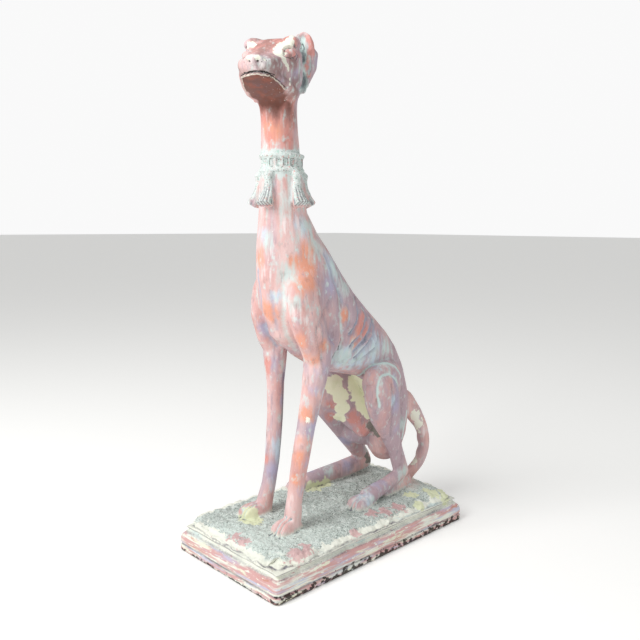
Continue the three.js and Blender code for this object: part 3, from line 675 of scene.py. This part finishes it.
def markPaint(mesh, points, edges, dog, stainsAndShade, s):
    normals = normalsOf(mesh, points)
    soft = relax(points, edges, 1.0, s["rounds"][0], pulls=(0.5,))
    softer = relax(soft, edges, 1.0, s["rounds"][1], pulls=(0.5,))
    narrow = np.sum((soft - points) * normals, axis=1)
    broad = np.sum((softer - points) * normals, axis=1)
    height = points[:, 2]
    rim = np.min(groundSettings["half"] - np.abs(points[:, :2]), axis=1)
    layers = {
        "hollow": narrow * s["hollow"][0] + broad * s["hollow"][1],
        "dog": dog,
        "ground": rising(normals[:, 2], *s["flat"]) * rising(height, *s["ground"]) * (1 - dog),
        "rim": np.exp(-np.clip(rim, 0, groundSettings["middle"]) / s["rim"]),
        "tier": np.clip((s["tier"][0] - height) / s["tier"][1], 0, 1),
        "soil": np.clip(1 - height / np.where(points[:, 0] > s["leftSide"], *s["soil"]), -1, 1),
        **stainsAndShade,
    }
    for name, blobs in wornPaint.items():
        value = np.full(len(points), -1.0)
        for x, y, z, radius in blobs:
            away = np.linalg.norm(points - (x, y, z), axis=1)
            value = np.maximum(value, 1 - away / (radius * s["blobEdge"]))
        layers[name] = value
    x, y, turn = castingSettings["head"]
    forward = -turned(points - (x, y, 0), -turn)[:, 1]
    level, at, run, edge, soften = s["lips"]
    lips = level + (forward - at) / run
    facing = np.clip((s["chinSlope"][0] - normals[:, 2]) * s["chinSlope"][1], 0, 1)
    below = np.clip((lips - edge - height) / soften, 0, 1)
    # painted shade on the jaw's downward faces below the lips
    layers["chin"] = facing * rising(height, *s["chinHeight"]) * below * rising(forward, *s["chinForward"])
    x, y, z, half = castingSettings["collar"]
    away = np.hypot(points[:, 0] - x, points[:, 1] - y)
    onCollar = (np.abs(height - z) < half + s["collar"][0]) & (away < s["collar"][1])
    drop, rise, inner, growth, rear = s["tassels"]
    outside = away > inner + growth * np.clip(z - half - height, 0, drop)
    onTassel = (height > z - half - drop) & (height <= z - half + rise) & outside & (points[:, 1] < rear)
    layers["collarBand"] = np.where(onCollar | onTassel, 1.0, 0.0)
    for name, value in layers.items():
        layer = mesh.attributes.new(name, "FLOAT", "POINT")
        layer.data.foreach_set("value", value.astype(np.float32))


def addNode(tree, kind, links=None, **settings):
    node = tree.nodes.new(kind)
    for key, value in settings.items():
        setattr(node, key, value)
    for socket, source in (links or {}).items():
        target = node.inputs[socket]
        if isinstance(source, bpy.types.NodeSocket):
            tree.links.new(source, target)
        else:
            target.default_value = source
    return node


# Weathered masonry paint brushed over concrete cast in a mould: matt and chalky, salmon pink under mint and
# lavender washes, flaked to cream. Each coat: colour, layer it follows, size of its patches, how far they
# stretch across and up, how ragged it is, where it starts and is full, and how much it covers.
dogCoats = [
    ("#ecd0cd", None, 40, 1, 0.35, 4.0, -0.5, 0.6, 0.9),
    ("#c58b82", None, 30, 1, 0.3, 4.0, 0.0, 0.9, 0.6),
    ("#b3abb9", None, 24, 1, 0.25, 4.0, 0.1, 0.8, 0.65),
    ("#b7a3ad", "mauve", 26, 1, 0.35, 3.4, -0.25, 0.5, 0.88),
    ("#b3b0cb", "lavender", 20, 1, 0.3, 3.4, 0.05, 0.9, 0.8),
    ("#eaa184", "orange", 20, 1, 0.3, 3.2, 0.05, 0.7, 0.85),
    ("#d9948a", "red", 20, 1, 0.35, 3.0, 0.05, 0.6, 0.85),
    ("#c9dbe8", "blue", 12, 1, 0.22, 3.4, 0.05, 0.8, 0.9),
    ("#cbdcd9", "mint", 9, 1, 0.18, 3.8, 0.1, 0.9, 0.85),
    ("#cddadc", "hollow", 9, 1, 0.22, 3.6, 0.4, 1.1, 0.8),
    ("#93726d", "brown", 12, 1, 0.4, 2.6, 0.0, 0.7, 0.75),
    ("#dc9a92", "ridge", 5, 1, 0.6, 1.6, 0.0, 0.4, 0.9),
    ("#f4ebea", "white", 6, 1, 0.15, 4.2, 0.3, 1.1, 0.7),
    ("#f0e0df", None, 6, 1, 0.12, 4.2, 0.35, 1.1, 0.45),
    ("#9a8d98", None, 4, 1, 0.12, 4.6, 0.4, 0.9, 0.5),
    ("#d0dcd9", "collarBand", 9, 1, 0.6, 3.4, 0.2, 0.7, 0.92),
    ("#a8c9bd", "collarBand", 4, 1, 0.8, 4.0, 1.15, 1.5, 0.7),
    ("#eef2ef", "collarBand", 3, 1, 0.7, 4.4, 1.3, 1.6, 0.8),
    ("#55605b", "collarBand", 2.2, 1, 1, 4.4, 1.35, 1.65, 0.8),
    ("#d39c97", "collarBand", 4, 1, 1, 4.0, 1.4, 1.55, 0.8),
    ("#adb2c4", "rib", 4, 1, 0.5, 0.8, 0.2, 0.9, 0.85),
    # under the jaw: painted shade over its red-brown paint
    ("#6a4034", "chin", 16, 1, 0.7, 1.6, 0.1, 0.8, 0.88),
    ("#a4604f", "chin", 20, 1, 0.8, 3.6, 1.0, 1.7, 0.7),
    ("#75616a", "chin", 12, 1, 0.8, 3.6, 1.3, 1.8, 0.6),
    ("#f1f1e2", "peel", 7, 1, 1, 1.6, 0.3, 0.36, 1),
    ("#f6f7d9", "bare", 16, 1, 0.6, 0.9, 0.22, 0.28, 1),
    ("#d3dba4", "bare", 18, 1, 0.6, 2.6, 0.7, 1.4, 0.6),
    ("#8c8780", "dark", 5, 1, 1, 1.4, 0.25, 0.32, 1),
    ("#f6f4ee", None, 2.6, 1, 1, 5.0, 0.95, 1.05, 0.8),
    ("#6d6664", None, 2.2, 1, 1, 5.0, 0.95, 1.15, 0.6),
]
plinthCoats = [
    ("#d3d6cd", None, 30, 0.5, 1.5, 3.4, 0, 0.4, 0.8),
    ("#cf9f9d", "tier", 12, 0.12, 1.6, 4.6, 0.75, 1.1, 0.95),
    ("#c5d8d8", None, 14, 0.14, 1.8, 3.4, 0.25, 0.6, 0.8),
    ("#bfc5dc", "tier", 11, 0.12, 1.7, 4.6, 1.1, 1.55, 0.8),
    ("#e6ead2", "tier", 9, 0.2, 1.5, 4.8, 1.35, 1.6, 0.85),
    ("#c58a72", "tier", 8, 0.14, 2, 4.2, 1.45, 1.7, 0.7),
    ("#cf9f9d", None, 9, 0.4, 1.6, 4.2, 0.6, 0.7, 0.8),
    ("#e9ebdf", None, 6, 0.5, 2, 4.6, 0.45, 0.55, 0.9),
    ("#7d827b", None, 3, 0.6, 1.6, 4.6, 0.7, 0.9, 0.7),
]
groundCoats = [
    ("#8b968e", None, 7, 1, 1, 3.6, 0.0, 0.7, 0.8),
    ("#dfe8e3", None, 26, 1, 1, 3.4, 0.1, 0.7, 0.8),
    ("#39413d", None, 1.9, 1, 1, 5.2, 0.3, 0.6, 0.9),
    ("#f2f6f2", None, 2.2, 1, 1, 5.0, 0.4, 0.65, 0.9),
    ("#d8e5de", "groundPale", 3, 1, 1, 4.6, 0.3, 1.2, 0.75),
    ("#eef0e4", "rim", 12, 1, 1, 2.4, 0.55, 0.65, 0.95),
]
lastCoats = [
    ("#dfe4bf", "groundYellow", 10, 1, 1, 1.6, 0.2, 0.28, 0.9),
    ("#d4a5a6", "groundPink", 8, 1, 1, 2.6, 0.3, 0.5, 0.75),
    ("#cfe3df", "wash", 2.2, 1, 1, 0.9, 0.2, 0.9, 1),
    ("#e8e0d2", "edge", 2.2, 1, 1, 0.9, 0.35, 0.95, 0.95),
    ("#77707a", "shade", 2.2, 1, 1, 0.9, 0.1, 0.9, 0.85),
    # painted shade in the deepest hollows
    ("#676470", "hollow", 3, 1, 1, 1.4, 0.9, 2.0, 0.8),
    # dark dirt with painted shade in the carved creases, eye rims, mouth, nostrils and round the collar's panels
    ("#3a3230", "grime", 2.2, 1, 1, 0.9, 0.4, 0.95, 1),
    ("#2b211c", "soil", 6, 0.7, 1, 3.4, 0.42, 0.66, 0.93),
]
coatStep = (0.31, 0.17, 0)  # metres between the patterns of two coats


def brushOn(tree, place, below, coats):
    for turn, (tone, layer, size, across, up, ragged, start, full, most) in enumerate(coats):
        moved = addNode(tree, "ShaderNodeMapping", {
            "Vector": place, "Location": [turn * step for step in coatStep], "Scale": (across, across, up)})
        patches = addNode(tree, "ShaderNodeTexNoise", {
            "Vector": moved.outputs[0], "Scale": 1 / (size * mm), "Detail": 5, "Roughness": 0.6})
        drift = addNode(tree, "ShaderNodeMath", {
            0: patches.outputs[0], 1: ragged, 2: -ragged / 2}, operation="MULTIPLY_ADD")
        follows = addNode(tree, "ShaderNodeAttribute", attribute_name=layer).outputs["Fac"] if layer else 0.0
        total = addNode(tree, "ShaderNodeMath", {0: drift.outputs[0], 1: follows}, operation="ADD")
        share = addNode(tree, "ShaderNodeMapRange", {
            "Value": total.outputs[0], "From Min": start, "From Max": full, "To Max": most})
        below = addNode(tree, "ShaderNodeMix", {
            0: share.outputs[0], 6: below, 7: linear(tone)}, data_type="RGBA").outputs[2]
    return below


paintSettings = {
    "dog": "#d6a8a3",
    "plinth": "#e9ebde",
    "ground": "#c0cac4",
    "rough": 0.82,
    "shine": 0.35,
    "grain": 2.2,   # size of the concrete's sand, drawn coarse so that it shows
    "flakes": 7,    # size of the paint's flakes
    "relief": 0.8,
    "bump": 0.5,
}


def makePaint(s):
    material = bpy.data.materials.new("masonryPaintOnCastConcrete")
    material.use_nodes = True
    tree = material.node_tree
    tree.nodes.clear()
    output = addNode(tree, "ShaderNodeOutputMaterial")
    shader = addNode(tree, "ShaderNodeBsdfPrincipled", {
        "Roughness": s["rough"], "Specular IOR Level": s["shine"]})
    tree.links.new(shader.outputs[0], output.inputs[0])
    place = addNode(tree, "ShaderNodeTexCoord").outputs["Object"]
    onGround = addNode(tree, "ShaderNodeAttribute", attribute_name="ground").outputs["Fac"]
    onDog = addNode(tree, "ShaderNodeAttribute", attribute_name="dog").outputs["Fac"]
    plinth = brushOn(tree, place, linear(s["plinth"]), plinthCoats)
    ground = brushOn(tree, place, linear(s["ground"]), groundCoats)
    dog = brushOn(tree, place, linear(s["dog"]), dogCoats)
    base = addNode(tree, "ShaderNodeMix", {0: onGround, 6: plinth, 7: ground}, data_type="RGBA").outputs[2]
    whole = addNode(tree, "ShaderNodeMix", {0: onDog, 6: base, 7: dog}, data_type="RGBA").outputs[2]
    tree.links.new(brushOn(tree, place, whole, lastCoats), shader.inputs["Base Color"])
    grain = addNode(tree, "ShaderNodeTexNoise", {
        "Vector": place, "Scale": 1 / (s["grain"] * mm), "Detail": 3})
    flakes = addNode(tree, "ShaderNodeTexNoise", {
        "Vector": place, "Scale": 1 / (s["flakes"] * mm), "Detail": 6})
    relief = addNode(tree, "ShaderNodeMath", {0: grain.outputs[0], 1: flakes.outputs[0]}, operation="ADD")
    bump = addNode(tree, "ShaderNodeBump", {
        "Height": relief.outputs[0], "Strength": s["bump"], "Distance": s["relief"] * mm})
    tree.links.new(bump.outputs[0], shader.inputs["Normal"])
    return material


casting = castGreyhound(castingSettings)
casting.data.materials.append(makePaint(paintSettings))
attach(casting, "root")
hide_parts("greyhound_statue")
print("paint applied")

# Studio: a plain pale floor and soft light. Sizes here are metres and powers are watts.
studioSettings = {
    "floor": "#f4f4f2",
    "size": 60.0,
    "rough": 0.9,
    "glow": 0.2,
    "sky": 0.5,
    "backdrop": 0.95,
    "lights": [("keyLight", (-0.1, -1.6, 1.7), 1.1, 36), ("fillLight", (1.8, 0.3, 1.2), 1.8, 3)],
    "aim": (0, 0, 0.35),
}


def makeStudio(s):
    bm = bmesh.new()
    bmesh.ops.create_grid(bm, x_segments=1, y_segments=1, size=s["size"] / 2)
    mesh = bpy.data.meshes.new("studioFloor")
    bm.to_mesh(mesh)
    bm.free()
    floor = bpy.data.objects.new("studioFloor", mesh)
    bpy.context.scene.collection.objects.link(floor)
    material = bpy.data.materials.new("paleStudioPaper")
    material.use_nodes = True
    shader = material.node_tree.nodes["Principled BSDF"]
    shader.inputs["Base Color"].default_value = linear(s["floor"])
    shader.inputs["Roughness"].default_value = s["rough"]
    shader.inputs["Emission Color"].default_value = linear(s["floor"])
    shader.inputs["Emission Strength"].default_value = s["glow"]
    mesh.materials.append(material)
    world = bpy.data.worlds.new("softStudio")
    world.use_nodes = True
    tree = world.node_tree
    seen = addNode(tree, "ShaderNodeLightPath").outputs["Is Camera Ray"]
    strength = addNode(tree, "ShaderNodeMapRange", {
        "Value": seen, "To Min": s["sky"], "To Max": s["backdrop"]})
    tree.nodes["Background"].inputs[0].default_value = (1, 1, 1, 1)
    tree.links.new(strength.outputs[0], tree.nodes["Background"].inputs[1])
    bpy.context.scene.world = world
    for name, place, size, power in s["lights"]:
        data = bpy.data.lights.new(name, "AREA")
        data.size = size
        data.energy = power
        light = bpy.data.objects.new(name, data)
        bpy.context.scene.collection.objects.link(light)
        light.location = place
        light.rotation_euler = (Vector(s["aim"]) - Vector(place)).to_track_quat("-Z", "Y").to_euler()


makeStudio(studioSettings)
bpy.context.scene.view_settings.view_transform = "Standard"
print("studio ready")
